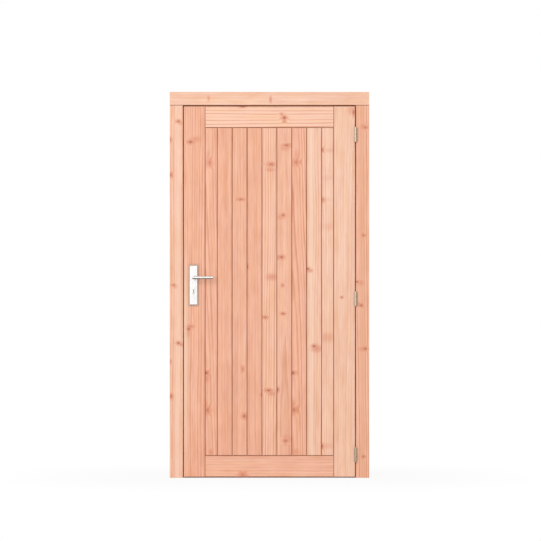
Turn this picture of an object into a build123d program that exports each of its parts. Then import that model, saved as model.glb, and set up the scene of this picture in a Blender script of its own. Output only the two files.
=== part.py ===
"""Single plank door in a timber frame: a boarded leaf on butt hinges, with a lever handle and a lock.

X runs to the right as seen from outside, Y runs inwards and Z runs up, in millimetres.
The origin is at floor level on the outer side of the hinge jamb, in the middle of its depth.
"""
import math
import os

from build123d import *

# Leaf
LEAF_WIDTH = 930.0
LEAF_HEIGHT = 2012.0
LEAF_THICKNESS = 40.0
STILE_WIDTH = 115.0
TOP_RAIL_HEIGHT = 114.0
BOTTOM_RAIL_HEIGHT = 114.0
LOCK_EDGE_BEVEL = 1.5  # how much narrower the leaf is at its back, so that the edge swings clear

# Gaps round the leaf
SIDE_GAP = 5.0
TOP_GAP = 7.0
FLOOR_GAP = 6.0

# Frame
JAMB_FACE = 72.0
HEAD_FACE = 72.0
FRAME_DEPTH = 110.0
FRAME_ARRIS = 1.5
HEAD_JOINT_GAP = 1.2  # open line between the head and a jamb
FRAME_TENON_WIDTH = 40.0
FRAME_TENON_THICKNESS = 36.0
FRAME_TENON_LENGTH = 30.0

# Stops planted on the frame behind the leaf, and the threshold between them
STOP_HEIGHT = 18.0  # how far a stop stands into the opening
STOP_DEPTH = 45.0
STOP_GAP = 5.0
STOP_ARRIS = 2.0
THRESHOLD_HEIGHT = 20.0

# Boards, tongued and grooved, with a V at every joint
BOARD_PITCH = 81.0
BOARD_THICKNESS = 18.0
NARROWEST_EDGE_BOARD = 40.0
TONGUE_LENGTH = 8.0
TONGUE_THICKNESS = 6.0
V_CHAMFER = 2.5
BOARD_GAP = 1.4  # between the shoulders of neighbouring pieces
JOINERY_PLAY = 0.2  # round tongues, tenons and plates let into the wood

# Mortise and tenon joints of the leaf
RAIL_TENON_LENGTH = 60.0
RAIL_TENON_THICKNESS = 12.0
RAIL_TENON_INSET = 30.0  # from the outer edge of the rail
RAIL_GAP = 0.6  # open line between a rail and a stile

# Butt hinges
HINGE_HEIGHT = 76.0
UPPER_HINGE_DROP = 153.0  # from the top of the leaf to the middle of the hinge
LOWER_HINGE_RISE = 120.0  # from the bottom of the leaf to the middle of the hinge
MIDDLE_HINGE_SHIFT = 23.0  # below the point halfway between the other two
HINGE_PROUD = 8.0  # from the face of the leaf to the pin
FLAP_THICKNESS = 2.5
FLAP_DEPTH = 30.0  # how far a flap is let into the wood
KNUCKLE_DIAMETER = 14.0
KNUCKLE_COUNT = 3
KNUCKLE_PLAY = 0.4
PIN_DIAMETER = 7.0
PIN_PLAY = 0.05
PIN_TIP_DIAMETER = 10.0
PIN_TIP_HEIGHT = 2.5

# Handle
SPINDLE_HEIGHT = 1088.0
BACKSET = 53.0  # from the edge of the leaf to the spindle
PLATE_WIDTH = 42.0
PLATE_RISE = 65.0  # above the spindle
PLATE_DROP = 148.0  # below the spindle
PLATE_THICKNESS = 9.0
PLATE_ROUND = 2.5
COLLAR_DIAMETER = 24.0
COLLAR_HEIGHT = 2.0
JOURNAL_DIAMETER = 15.0
JOURNAL_PLAY = 0.1
LEVER_DIAMETER = 17.0
LEVER_LENGTH = 107.0  # from the spindle to the tip
LEVER_PROJECTION = 52.0  # from the leaf to the middle of the grip
LEVER_TIP_CHAMFER = 1.2
LEVER_PLAY = 0.3
SPINDLE_SIDE = 8.0
SPINDLE_PLAY = 0.05
SPINDLE_GRIP = 25.0  # how far the spindle reaches into a lever
SPINDLE_BORE = 19.0

# Lock
CYLINDER_DROP = 68.0  # below the spindle
CYLINDER_DIAMETER = 17.0
CYLINDER_WEB = 10.0
CYLINDER_HEIGHT = 33.0
CYLINDER_PROUD = 2.0
CYLINDER_PLAY = 0.4
KEYHOLE_DIAMETER = 5.6
KEYHOLE_SLOT_WIDTH = 2.4
KEYHOLE_SLOT_DROP = 18.0  # from the middle of the round hole to the foot of the slot
KEYHOLE_DEPTH = 20.0
CASE_DEPTH = 80.0
CASE_RISE = 50.0  # above the spindle
CASE_DROP = 115.0  # below the spindle
CASE_THICKNESS = 15.0
FOREND_WIDTH = 20.0
FOREND_OVERLAP = 35.0  # beyond the case, above and below
FOREND_THICKNESS = 3.0
LATCH_RISE = 15.0  # from the spindle up to the middle of the latch
LATCH_HEIGHT = 20.0
LATCH_THICKNESS = 11.0
BOLT_DROP = 45.0  # from the spindle down to the middle of the dead bolt
BOLT_HEIGHT = 32.0
BOLT_THICKNESS = 10.0
BOLT_LENGTH = 38.0
BOLT_PLAY = 0.2
STRIKE_WIDTH = 24.0
STRIKE_OVERLAP = 30.0  # beyond the latch and the dead bolt
STRIKE_THICKNESS = 2.5
STRIKE_ROUND = 2.0
STRIKE_PLAY = 2.5  # round the bolts
POCKET_DEPTH = 25.0

# Heights and faces that follow
JAMB_TOP = FLOOR_GAP + LEAF_HEIGHT + TOP_GAP
FRAME_WIDTH = 2 * JAMB_FACE + 2 * SIDE_GAP + LEAF_WIDTH
FRONT = -FRAME_DEPTH / 2
BACK = FRONT + LEAF_THICKNESS
LEAF_BOTTOM = FLOOR_GAP
LEAF_TOP = LEAF_BOTTOM + LEAF_HEIGHT
LEAF_RIGHT = -(JAMB_FACE + SIDE_GAP)
LEAF_LEFT = LEAF_RIGHT - LEAF_WIDTH
LOCK_JAMB_FACE = LEAF_LEFT - SIDE_GAP
HINGE_JAMB_FACE = LEAF_RIGHT + SIDE_GAP
PANEL_LEFT = LEAF_LEFT + STILE_WIDTH
PANEL_RIGHT = LEAF_RIGHT - STILE_WIDTH
PANEL_BOTTOM = LEAF_BOTTOM + BOTTOM_RAIL_HEIGHT
PANEL_TOP = LEAF_TOP - TOP_RAIL_HEIGHT
PANEL_WIDTH = PANEL_RIGHT - PANEL_LEFT
TONGUE_MIDDLE = FRONT + BOARD_THICKNESS / 2
GROOVE_DEPTH = TONGUE_LENGTH + JOINERY_PLAY
GROOVE_WIDTH = TONGUE_THICKNESS + 2 * JOINERY_PLAY
STOP_FRONT = BACK + STOP_GAP
STOP_MIDDLE = STOP_FRONT + STOP_DEPTH / 2
LEAF_MIDDLE = FRONT + LEAF_THICKNESS / 2

# Boards of full width fill the panel, and two narrower ones make up the rest
FULL_BOARDS = int((PANEL_WIDTH - 2 * NARROWEST_EDGE_BOARD) // BOARD_PITCH)
EDGE_BOARD = (PANEL_WIDTH - FULL_BOARDS * BOARD_PITCH) / 2
BOARD_LINES = [PANEL_LEFT + EDGE_BOARD + BOARD_PITCH * i for i in range(FULL_BOARDS + 1)]
BOARD_EDGES = [PANEL_LEFT + BOARD_GAP / 2, *BOARD_LINES, PANEL_RIGHT - BOARD_GAP / 2]

# Hinges
HINGE_X = LEAF_RIGHT + SIDE_GAP / 2
HINGE_Y = FRONT - HINGE_PROUD
FLAP_REACH = HINGE_PROUD + FLAP_DEPTH
UPPER_HINGE = LEAF_TOP - UPPER_HINGE_DROP
LOWER_HINGE = LEAF_BOTTOM + LOWER_HINGE_RISE
MIDDLE_HINGE = (UPPER_HINGE + LOWER_HINGE) / 2 - MIDDLE_HINGE_SHIFT
HINGES = {"upper": UPPER_HINGE, "middle": MIDDLE_HINGE, "lower": LOWER_HINGE}
KNUCKLE_PITCH = HINGE_HEIGHT / KNUCKLE_COUNT
TIP_MIDDLE = (HINGE_HEIGHT + PIN_TIP_HEIGHT) / 2

# Lock and handle
SPINDLE_X = LEAF_LEFT + BACKSET
CYLINDER_Z = SPINDLE_HEIGHT - CYLINDER_DROP
LATCH_Z = SPINDLE_HEIGHT + LATCH_RISE
BOLT_Z = SPINDLE_HEIGHT - BOLT_DROP
BOLTS = ((LATCH_Z, LATCH_HEIGHT, LATCH_THICKNESS), (BOLT_Z, BOLT_HEIGHT, BOLT_THICKNESS))
CASE_HEIGHT = CASE_RISE + CASE_DROP
CASE_MIDDLE = SPINDLE_HEIGHT + (CASE_RISE - CASE_DROP) / 2
FOREND_HEIGHT = CASE_HEIGHT + 2 * FOREND_OVERLAP
FOREND_FACE = LEAF_LEFT + LOCK_EDGE_BEVEL * (LEAF_THICKNESS + FOREND_WIDTH) / (2 * LEAF_THICKNESS)
CASE_FRONT = FOREND_FACE + FOREND_THICKNESS
STRIKE_TOP = LATCH_Z + LATCH_HEIGHT / 2 + STRIKE_OVERLAP
STRIKE_BOTTOM = BOLT_Z - BOLT_HEIGHT / 2 - STRIKE_OVERLAP
SPINDLE_DIAGONAL = SPINDLE_SIDE * math.sqrt(2)

os.makedirs("parts", exist_ok=True)


def save(piece, name):
    """Label a finished piece and write it to its own file."""
    piece.label = name
    export_step(piece, f"parts/{name}.step")


def block(x_from, x_to, y_from, y_to, z_from, z_to, mode=Mode.ADD):
    """Add or cut a box given by its sides."""
    middle = ((x_from + x_to) / 2, (y_from + y_to) / 2, (z_from + z_to) / 2)
    with Locations(middle):
        Box(abs(x_to - x_from), abs(y_to - y_from), abs(z_to - z_from), mode=mode)


def column(x, y, z_middle, radius, height, mode=Mode.ADD):
    """Add or cut an upright cylinder."""
    with Locations((x, y, z_middle)):
        Cylinder(radius, height, mode=mode)


def cylinder_outline(play):
    """Draw the outline of a profile cylinder, a round head over a narrow web with a round foot."""
    foot_radius = CYLINDER_WEB / 2
    foot_drop = CYLINDER_HEIGHT - CYLINDER_DIAMETER / 2 - foot_radius
    with Locations((SPINDLE_X, CYLINDER_Z)):
        Circle(CYLINDER_DIAMETER / 2 + play)
    with Locations((SPINDLE_X, CYLINDER_Z - foot_drop / 2)):
        Rectangle(CYLINDER_WEB + 2 * play, foot_drop)
    with Locations((SPINDLE_X, CYLINDER_Z - foot_drop)):
        Circle(foot_radius + play)


def cut_bolt_holes(x_from, x_to, play):
    """Cut a hole for the latch and one for the dead bolt, with play round each."""
    for bolt_z, bolt_height, bolt_thickness in BOLTS:
        half_thickness = bolt_thickness / 2 + play
        half_height = bolt_height / 2 + play
        block(
            x_from, x_to, LEAF_MIDDLE - half_thickness, LEAF_MIDDLE + half_thickness,
            bolt_z - half_height, bolt_z + half_height, Mode.SUBTRACT,
        )


def cut_flap_recesses(edge, into_wood):
    """Cut the three hinge recesses into an edge; into_wood is 1 or -1 along X."""
    half_height = HINGE_HEIGHT / 2 + JOINERY_PLAY
    for recess_z in HINGES.values():
        block(
            edge, edge + into_wood * FLAP_THICKNESS, FRONT, FRONT + FLAP_DEPTH + JOINERY_PLAY,
            recess_z - half_height, recess_z + half_height, Mode.SUBTRACT,
        )


def upright(y):
    """Plane at depth y for sketches seen from outside: X to the right, Y up, normal to the front."""
    return Plane(origin=(0, y, 0), x_dir=(1, 0, 0), z_dir=(0, -1, 0))


# Frame
with BuildPart() as frame_head:
    with BuildSketch(Plane.YZ.offset(-FRAME_WIDTH)) as head_section:
        with Locations((0, JAMB_TOP + HEAD_FACE / 2)):
            Rectangle(FRAME_DEPTH, HEAD_FACE)
        chamfer(head_section.vertices(), FRAME_ARRIS)
    extrude(amount=FRAME_WIDTH)
    with BuildSketch(Plane.XY.offset(JAMB_TOP)):
        with Locations((-JAMB_FACE / 2, 0), (JAMB_FACE / 2 - FRAME_WIDTH, 0)):
            Rectangle(FRAME_TENON_WIDTH + 2 * JOINERY_PLAY, FRAME_TENON_THICKNESS + 2 * JOINERY_PLAY)
    extrude(amount=FRAME_TENON_LENGTH + JOINERY_PLAY, mode=Mode.SUBTRACT)
save(frame_head.part, "frame_head")


def make_jamb(middle):
    """Upright of the frame, with a tenon on top."""
    with BuildPart() as jamb:
        with BuildSketch() as section:
            with Locations((middle, 0)):
                Rectangle(JAMB_FACE, FRAME_DEPTH)
            chamfer(section.vertices(), FRAME_ARRIS)
        extrude(amount=JAMB_TOP - HEAD_JOINT_GAP)
        chamfer(jamb.faces().sort_by(Axis.Z)[-1].edges(), FRAME_ARRIS)
        with BuildSketch(Plane.XY.offset(JAMB_TOP - HEAD_JOINT_GAP)):
            with Locations((middle, 0)):
                Rectangle(FRAME_TENON_WIDTH, FRAME_TENON_THICKNESS)
        extrude(amount=HEAD_JOINT_GAP + FRAME_TENON_LENGTH)
    return jamb.part


with BuildPart() as lock_jamb:
    add(make_jamb(JAMB_FACE / 2 - FRAME_WIDTH))
    block(
        LOCK_JAMB_FACE - STRIKE_THICKNESS, LOCK_JAMB_FACE,
        LEAF_MIDDLE - STRIKE_WIDTH / 2 - JOINERY_PLAY, LEAF_MIDDLE + STRIKE_WIDTH / 2 + JOINERY_PLAY,
        STRIKE_BOTTOM - JOINERY_PLAY, STRIKE_TOP + JOINERY_PLAY, Mode.SUBTRACT,
    )
    cut_bolt_holes(LOCK_JAMB_FACE - POCKET_DEPTH, LOCK_JAMB_FACE, STRIKE_PLAY)
save(lock_jamb.part, "lock_jamb")

with BuildPart() as hinge_jamb:
    add(make_jamb(-JAMB_FACE / 2))
    cut_flap_recesses(HINGE_JAMB_FACE, 1)
save(hinge_jamb.part, "hinge_jamb")


def make_side_stop(middle):
    """Upright stop lath under the stop of the head."""
    with BuildPart() as stop:
        with BuildSketch() as section:
            with Locations((middle, STOP_MIDDLE)):
                Rectangle(STOP_HEIGHT, STOP_DEPTH)
            chamfer(section.vertices(), STOP_ARRIS)
        extrude(amount=JAMB_TOP - STOP_HEIGHT)
    return stop.part


save(make_side_stop(LOCK_JAMB_FACE + STOP_HEIGHT / 2), "lock_stop")
save(make_side_stop(HINGE_JAMB_FACE - STOP_HEIGHT / 2), "hinge_stop")

with BuildPart() as head_stop:
    with BuildSketch(Plane.YZ.offset(LOCK_JAMB_FACE)) as stop_section:
        with Locations((STOP_MIDDLE, JAMB_TOP - STOP_HEIGHT / 2)):
            Rectangle(STOP_DEPTH, STOP_HEIGHT)
        chamfer(stop_section.vertices(), STOP_ARRIS)
    extrude(amount=HINGE_JAMB_FACE - LOCK_JAMB_FACE)
save(head_stop.part, "head_stop")

with BuildPart() as threshold:
    with BuildSketch(Plane.YZ.offset(LOCK_JAMB_FACE + STOP_HEIGHT)) as threshold_section:
        with Locations((STOP_MIDDLE, THRESHOLD_HEIGHT / 2)):
            Rectangle(STOP_DEPTH, THRESHOLD_HEIGHT)
        chamfer(threshold_section.vertices().group_by(Axis.Z)[-1], STOP_ARRIS)
    extrude(amount=HINGE_JAMB_FACE - LOCK_JAMB_FACE - 2 * STOP_HEIGHT)
save(threshold.part, "threshold")

with BuildPart() as strike_plate:
    block(
        LOCK_JAMB_FACE - STRIKE_THICKNESS, LOCK_JAMB_FACE,
        LEAF_MIDDLE - STRIKE_WIDTH / 2, LEAF_MIDDLE + STRIKE_WIDTH / 2, STRIKE_BOTTOM, STRIKE_TOP,
    )
    fillet(strike_plate.edges().filter_by(Axis.X), STRIKE_ROUND)
    cut_bolt_holes(LOCK_JAMB_FACE - STRIKE_THICKNESS, LOCK_JAMB_FACE, STRIKE_PLAY)
save(strike_plate.part, "strike_plate")


# Stiles and rails
def cut_stile_joints(edge, inward):
    """Cut the board groove and the two rail mortises into the inner edge of a stile."""
    block(
        edge - inward * GROOVE_DEPTH, edge,
        TONGUE_MIDDLE - GROOVE_WIDTH / 2, TONGUE_MIDDLE + GROOVE_WIDTH / 2,
        PANEL_BOTTOM - GROOVE_DEPTH, PANEL_TOP + GROOVE_DEPTH, Mode.SUBTRACT,
    )
    for low, high in (
        (LEAF_BOTTOM + RAIL_TENON_INSET, PANEL_BOTTOM),
        (PANEL_TOP, LEAF_TOP - RAIL_TENON_INSET),
    ):
        half_width = RAIL_TENON_THICKNESS / 2 + JOINERY_PLAY
        block(
            edge - inward * (RAIL_TENON_LENGTH + JOINERY_PLAY), edge,
            LEAF_MIDDLE - half_width, LEAF_MIDDLE + half_width,
            low - JOINERY_PLAY, high + JOINERY_PLAY, Mode.SUBTRACT,
        )


with BuildPart() as lock_stile:
    with BuildSketch(Plane.XY.offset(LEAF_BOTTOM)) as lock_stile_section:
        with BuildLine():
            Polyline(
                (LEAF_LEFT, FRONT), (PANEL_LEFT, FRONT), (PANEL_LEFT, BACK),
                (LEAF_LEFT + LOCK_EDGE_BEVEL, BACK), close=True,
            )
        make_face()
        chamfer(lock_stile_section.vertices(), V_CHAMFER)
    extrude(amount=LEAF_HEIGHT)
    cut_stile_joints(PANEL_LEFT, 1)
    block(
        LEAF_LEFT, CASE_FRONT,
        LEAF_MIDDLE - FOREND_WIDTH / 2 - JOINERY_PLAY, LEAF_MIDDLE + FOREND_WIDTH / 2 + JOINERY_PLAY,
        CASE_MIDDLE - FOREND_HEIGHT / 2 - JOINERY_PLAY, CASE_MIDDLE + FOREND_HEIGHT / 2 + JOINERY_PLAY,
        Mode.SUBTRACT,
    )
    block(
        CASE_FRONT, CASE_FRONT + CASE_DEPTH + JOINERY_PLAY,
        LEAF_MIDDLE - CASE_THICKNESS / 2 - JOINERY_PLAY, LEAF_MIDDLE + CASE_THICKNESS / 2 + JOINERY_PLAY,
        CASE_MIDDLE - CASE_HEIGHT / 2 - JOINERY_PLAY, CASE_MIDDLE + CASE_HEIGHT / 2 + JOINERY_PLAY,
        Mode.SUBTRACT,
    )
    with BuildSketch(upright(BACK)):
        with Locations((SPINDLE_X, SPINDLE_HEIGHT)):
            Circle(SPINDLE_BORE / 2)
        cylinder_outline(CYLINDER_PLAY)
    extrude(amount=LEAF_THICKNESS, mode=Mode.SUBTRACT)
save(lock_stile.part, "lock_stile")

with BuildPart() as hinge_stile:
    with BuildSketch(Plane.XY.offset(LEAF_BOTTOM)) as hinge_stile_section:
        with Locations(((PANEL_RIGHT + LEAF_RIGHT) / 2, LEAF_MIDDLE)):
            Rectangle(STILE_WIDTH, LEAF_THICKNESS)
        chamfer(hinge_stile_section.vertices(), V_CHAMFER)
    extrude(amount=LEAF_HEIGHT)
    cut_stile_joints(PANEL_RIGHT, -1)
    cut_flap_recesses(LEAF_RIGHT, -1)
save(hinge_stile.part, "hinge_stile")


def make_rail(outer_edge, inner_edge):
    """Rail between the stiles, with a groove for the board ends and a tenon at each end."""
    inward = 1 if inner_edge > outer_edge else -1
    left = PANEL_LEFT + RAIL_GAP
    right = PANEL_RIGHT - RAIL_GAP
    with BuildPart() as rail:
        block(left, right, FRONT, BACK, outer_edge, inner_edge)
        chamfer(rail.faces().sort_by(Axis.Y)[0].edges(), V_CHAMFER)
        chamfer(rail.faces().sort_by(Axis.Y)[-1].edges(), V_CHAMFER)
        block(
            left, right,
            TONGUE_MIDDLE - GROOVE_WIDTH / 2, TONGUE_MIDDLE + GROOVE_WIDTH / 2,
            inner_edge - inward * GROOVE_DEPTH, inner_edge, Mode.SUBTRACT,
        )
        for shoulder, end in (
            (left, PANEL_LEFT - RAIL_TENON_LENGTH),
            (right, PANEL_RIGHT + RAIL_TENON_LENGTH),
        ):
            block(
                shoulder, end,
                LEAF_MIDDLE - RAIL_TENON_THICKNESS / 2, LEAF_MIDDLE + RAIL_TENON_THICKNESS / 2,
                outer_edge + inward * RAIL_TENON_INSET, inner_edge - inward * GROOVE_DEPTH,
            )
    return rail.part


save(make_rail(LEAF_TOP, PANEL_TOP), "top_rail")
save(make_rail(LEAF_BOTTOM, PANEL_BOTTOM), "bottom_rail")


# Boards
def make_board(left, right, tongue_on_left):
    """Board with a tongue at the right edge and both ends, and a tongue or a groove at the left."""
    low = PANEL_BOTTOM + BOARD_GAP
    high = PANEL_TOP - BOARD_GAP
    face_left = left + BOARD_GAP / 2
    face_right = right - BOARD_GAP / 2
    tongue_front = TONGUE_MIDDLE - TONGUE_THICKNESS / 2
    tongue_back = TONGUE_MIDDLE + TONGUE_THICKNESS / 2
    with BuildPart() as board:
        block(face_left, face_right, FRONT, FRONT + BOARD_THICKNESS, low, high)
        chamfer(board.faces().sort_by(Axis.Y)[0].edges(), V_CHAMFER)
        chamfer(board.faces().sort_by(Axis.Y)[-1].edges(), V_CHAMFER)
        block(face_right, right + TONGUE_LENGTH, tongue_front, tongue_back, low, high)
        block(
            face_left + GROOVE_DEPTH, face_right, tongue_front, tongue_back,
            PANEL_BOTTOM - TONGUE_LENGTH, PANEL_TOP + TONGUE_LENGTH,
        )
        if tongue_on_left:
            block(left - TONGUE_LENGTH, face_left, tongue_front, tongue_back, low, high)
        else:
            block(
                face_left, left + GROOVE_DEPTH,
                TONGUE_MIDDLE - GROOVE_WIDTH / 2, TONGUE_MIDDLE + GROOVE_WIDTH / 2,
                low, high, Mode.SUBTRACT,
            )
    return board.part


for board_index in range(len(BOARD_EDGES) - 1):
    board_left = BOARD_EDGES[board_index]
    board_right = BOARD_EDGES[board_index + 1]
    save(make_board(board_left, board_right, board_index == 0), f"board_{board_index + 1}")


# Butt hinges
def make_flap(hinge_z, side, first_knuckle):
    """Flap of a hinge with every second knuckle; side is 1 towards the frame, -1 towards the leaf."""
    bottom = hinge_z - HINGE_HEIGHT / 2
    near = HINGE_X + side * SIDE_GAP / 2
    knuckles = [bottom + KNUCKLE_PITCH * (i + 1 / 2) for i in range(KNUCKLE_COUNT)]
    own = knuckles[first_knuckle::2]
    others = knuckles[1 - first_knuckle::2]
    with BuildPart() as flap:
        block(
            near, near + side * FLAP_THICKNESS, HINGE_Y, HINGE_Y + FLAP_REACH,
            bottom, bottom + HINGE_HEIGHT,
        )
        for knuckle_z in others:
            column(
                HINGE_X, HINGE_Y, knuckle_z, KNUCKLE_DIAMETER / 2 + KNUCKLE_PLAY, KNUCKLE_PITCH,
                Mode.SUBTRACT,
            )
        for knuckle_z in own:
            column(HINGE_X, HINGE_Y, knuckle_z, KNUCKLE_DIAMETER / 2, KNUCKLE_PITCH - KNUCKLE_PLAY)
    return flap.part


for hinge_name, hinge_z in HINGES.items():
    # The pin is pressed into the knuckles of the frame flap and shows a tip above and below them
    with BuildPart() as frame_flap:
        add(make_flap(hinge_z, 1, 0))
        column(HINGE_X, HINGE_Y, hinge_z, PIN_DIAMETER / 2, HINGE_HEIGHT)
        for tip_z in (hinge_z - TIP_MIDDLE, hinge_z + TIP_MIDDLE):
            column(HINGE_X, HINGE_Y, tip_z, PIN_TIP_DIAMETER / 2, PIN_TIP_HEIGHT)
    save(frame_flap.part, f"{hinge_name}_hinge_frame_flap")
    with BuildPart() as leaf_flap:
        add(make_flap(hinge_z, -1, 1))
        column(HINGE_X, HINGE_Y, hinge_z, PIN_DIAMETER / 2 + PIN_PLAY, HINGE_HEIGHT, Mode.SUBTRACT)
    save(leaf_flap.part, f"{hinge_name}_hinge_leaf_flap")

# Lock
with BuildPart() as lock_case:
    block(
        CASE_FRONT, CASE_FRONT + CASE_DEPTH,
        LEAF_MIDDLE - CASE_THICKNESS / 2, LEAF_MIDDLE + CASE_THICKNESS / 2,
        CASE_MIDDLE - CASE_HEIGHT / 2, CASE_MIDDLE + CASE_HEIGHT / 2,
    )
    cut_bolt_holes(CASE_FRONT, FOREND_FACE + BOLT_LENGTH + BOLT_PLAY, BOLT_PLAY)
    with BuildSketch(upright(BACK)):
        with Locations((SPINDLE_X, SPINDLE_HEIGHT)):
            Circle(SPINDLE_DIAGONAL / 2 + LEVER_PLAY)
        cylinder_outline(CYLINDER_PLAY)
    extrude(amount=LEAF_THICKNESS, mode=Mode.SUBTRACT)
save(lock_case.part, "lock_case")

with BuildPart() as lock_forend:
    block(
        FOREND_FACE, CASE_FRONT, LEAF_MIDDLE - FOREND_WIDTH / 2, LEAF_MIDDLE + FOREND_WIDTH / 2,
        CASE_MIDDLE - FOREND_HEIGHT / 2, CASE_MIDDLE + FOREND_HEIGHT / 2,
    )
    cut_bolt_holes(FOREND_FACE, CASE_FRONT, BOLT_PLAY)
save(lock_forend.part, "lock_forend")

with BuildPart() as latch_bolt:
    block(
        FOREND_FACE, FOREND_FACE + BOLT_LENGTH,
        LEAF_MIDDLE - LATCH_THICKNESS / 2, LEAF_MIDDLE + LATCH_THICKNESS / 2,
        LATCH_Z - LATCH_HEIGHT / 2, LATCH_Z + LATCH_HEIGHT / 2,
    )
save(latch_bolt.part, "latch_bolt")

with BuildPart() as dead_bolt:
    block(
        FOREND_FACE, FOREND_FACE + BOLT_LENGTH,
        LEAF_MIDDLE - BOLT_THICKNESS / 2, LEAF_MIDDLE + BOLT_THICKNESS / 2,
        BOLT_Z - BOLT_HEIGHT / 2, BOLT_Z + BOLT_HEIGHT / 2,
    )
save(dead_bolt.part, "dead_bolt")

# The cylinder takes a bit key: a round hole over a narrow slot, the same from both sides
with BuildPart() as lock_cylinder:
    cylinder_front = FRONT - PLATE_THICKNESS - CYLINDER_PROUD
    cylinder_back = BACK + PLATE_THICKNESS + CYLINDER_PROUD
    with BuildSketch(upright(cylinder_back)):
        cylinder_outline(0)
    extrude(amount=cylinder_back - cylinder_front)
    for end_face, outward in ((cylinder_front, -1), (cylinder_back, 1)):
        with BuildSketch(upright(end_face)):
            with Locations((SPINDLE_X, CYLINDER_Z)):
                Circle(KEYHOLE_DIAMETER / 2)
            with Locations((SPINDLE_X, CYLINDER_Z - KEYHOLE_SLOT_DROP / 2)):
                Rectangle(KEYHOLE_SLOT_WIDTH, KEYHOLE_SLOT_DROP)
        extrude(amount=outward * KEYHOLE_DEPTH, mode=Mode.SUBTRACT)
save(lock_cylinder.part, "lock_cylinder")


# Handle
def make_plate(face, outward):
    """Long handle plate on one face of the leaf, with a collar round the lever."""
    plate_face = face + outward * PLATE_THICKNESS
    with BuildPart() as plate:
        block(
            SPINDLE_X - PLATE_WIDTH / 2, SPINDLE_X + PLATE_WIDTH / 2, face, plate_face,
            SPINDLE_HEIGHT - PLATE_DROP, SPINDLE_HEIGHT + PLATE_RISE,
        )
        fillet(plate.faces().sort_by(Axis.Y, reverse=outward > 0)[0].edges(), PLATE_ROUND)
        with BuildSketch(upright(plate_face)):
            with Locations((SPINDLE_X, SPINDLE_HEIGHT)):
                Circle(COLLAR_DIAMETER / 2)
        extrude(amount=-outward * COLLAR_HEIGHT)
        with BuildSketch(upright(face)):
            with Locations((SPINDLE_X, SPINDLE_HEIGHT)):
                Circle(JOURNAL_DIAMETER / 2 + JOURNAL_PLAY)
            cylinder_outline(CYLINDER_PLAY)
        extrude(amount=-outward * (PLATE_THICKNESS + COLLAR_HEIGHT), mode=Mode.SUBTRACT)
    return plate.part


def make_lever(face, outward):
    """Round lever, mitred from the spindle to the right, with a journal that turns in the plate."""
    journal_end = face + outward * LEVER_PLAY
    journal_length = PLATE_THICKNESS + COLLAR_HEIGHT
    neck_start = journal_end + outward * journal_length
    grip_middle = face + outward * LEVER_PROJECTION
    with BuildPart() as lever:
        with BuildLine(Plane.XY.offset(SPINDLE_HEIGHT)):
            Polyline(
                (SPINDLE_X, neck_start), (SPINDLE_X, grip_middle), (SPINDLE_X + LEVER_LENGTH, grip_middle),
            )
        with BuildSketch(upright(neck_start)):
            with Locations((SPINDLE_X, SPINDLE_HEIGHT)):
                Circle(LEVER_DIAMETER / 2)
        sweep(transition=Transition.RIGHT)
        chamfer(lever.faces().sort_by(Axis.X)[-1].edges(), LEVER_TIP_CHAMFER)
        with BuildSketch(upright(neck_start)):
            with Locations((SPINDLE_X, SPINDLE_HEIGHT)):
                Circle(JOURNAL_DIAMETER / 2)
        extrude(amount=outward * journal_length)
        with BuildSketch(upright(journal_end)):
            with Locations((SPINDLE_X, SPINDLE_HEIGHT)):
                Rectangle(SPINDLE_SIDE + 2 * SPINDLE_PLAY, SPINDLE_SIDE + 2 * SPINDLE_PLAY)
        extrude(amount=-outward * SPINDLE_GRIP, mode=Mode.SUBTRACT)
    return lever.part


save(make_plate(FRONT, -1), "outer_plate")
save(make_plate(BACK, 1), "inner_plate")
save(make_lever(FRONT, -1), "outer_lever")
save(make_lever(BACK, 1), "inner_lever")

with BuildPart() as spindle:
    block(
        SPINDLE_X - SPINDLE_SIDE / 2, SPINDLE_X + SPINDLE_SIDE / 2,
        FRONT - SPINDLE_GRIP, BACK + SPINDLE_GRIP,
        SPINDLE_HEIGHT - SPINDLE_SIDE / 2, SPINDLE_HEIGHT + SPINDLE_SIDE / 2,
    )
save(spindle.part, "spindle")
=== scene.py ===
"""Looks of the plank door: fir with growth rings and knots, satin metal, screws, floor, light and camera.

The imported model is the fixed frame, in metres: X to the right as seen from outside, Y inwards, Z up.
"""

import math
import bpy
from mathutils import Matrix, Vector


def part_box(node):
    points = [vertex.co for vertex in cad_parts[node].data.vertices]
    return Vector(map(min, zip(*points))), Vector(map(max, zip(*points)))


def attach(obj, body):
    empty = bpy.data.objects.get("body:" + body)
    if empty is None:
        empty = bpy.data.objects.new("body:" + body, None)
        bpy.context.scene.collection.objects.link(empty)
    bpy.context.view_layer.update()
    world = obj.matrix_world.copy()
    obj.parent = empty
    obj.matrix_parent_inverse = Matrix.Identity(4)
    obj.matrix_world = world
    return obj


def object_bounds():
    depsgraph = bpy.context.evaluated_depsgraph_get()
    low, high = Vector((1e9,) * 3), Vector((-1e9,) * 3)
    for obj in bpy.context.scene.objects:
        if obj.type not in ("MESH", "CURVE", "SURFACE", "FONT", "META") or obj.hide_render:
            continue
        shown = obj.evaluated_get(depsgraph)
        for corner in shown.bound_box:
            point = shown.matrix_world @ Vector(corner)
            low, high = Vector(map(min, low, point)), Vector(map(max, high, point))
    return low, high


bl_info = {
    "name": "Plank door",
    "version": (1, 0, 0),
    "blender": (4, 5, 0),
    "location": "View3D > Sidebar > Door",
    "description": "Dresses a boarded timber door and its frame, hinges, lock and handle",
    "category": "Object",
}

from typing import NamedTuple

import bpy
import numpy as np
from bpy.props import FloatProperty, FloatVectorProperty, PointerProperty
from mathutils import Vector

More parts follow.
